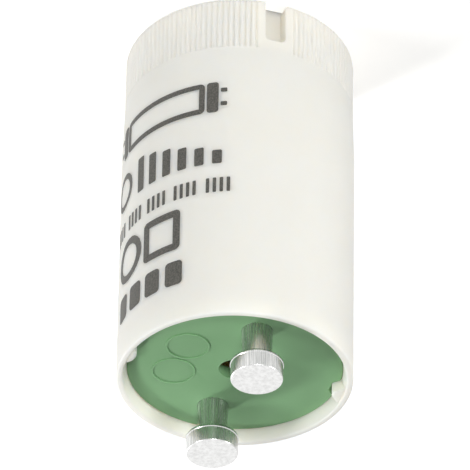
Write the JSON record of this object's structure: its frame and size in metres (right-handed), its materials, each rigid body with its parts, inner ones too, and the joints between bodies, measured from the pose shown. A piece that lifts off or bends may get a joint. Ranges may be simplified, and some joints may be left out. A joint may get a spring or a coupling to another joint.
{
  "type": "fluorescent starter",
  "caption": "Twist-in starter canister for a tube lamp holder: ribbed moulded can, recessed base disc, mushroom contact pins and a fuse inside that bridges them.",
  "frame": {"origin": "centre of the closed end of the can, on which the part stands", "axes": "+Z along the axis of the can towards the contact pins; X runs through both pins and both notches of the grip; the key that locates the base disc is at -Y"},
  "size_m": [0.0216, 0.0216, 0.0395],
  "materials": {
    "housing_plastic": "satin moulded polycarbonate, warm white",
    "disc_plastic": "satin moulded plastic, green",
    "pin_aluminium": "turned, tumbled",
    "fuse_glass": "clear drawn tube",
    "fuse_element": "fine tinned wire",
    "cap_brass": "pressed",
    "solder": "dull grey solder",
    "tinned_copper": "bright tinned wire"
  },
  "bodies": {
    "root": {"housing": "housing_plastic", "base_disc": "disc_plastic", "contact_pin_right": "pin_aluminium", "contact_pin_left": "pin_aluminium", "fuse_glass_tube": "fuse_glass", "fuse_wire": "fuse_element", "fuse_cap_right": "cap_brass", "fuse_cap_left": "cap_brass", "fuse_solder_right": "solder", "fuse_solder_left": "solder", "lead_right": "tinned_copper", "lead_left": "tinned_copper"}
  },
  "joints": []
}
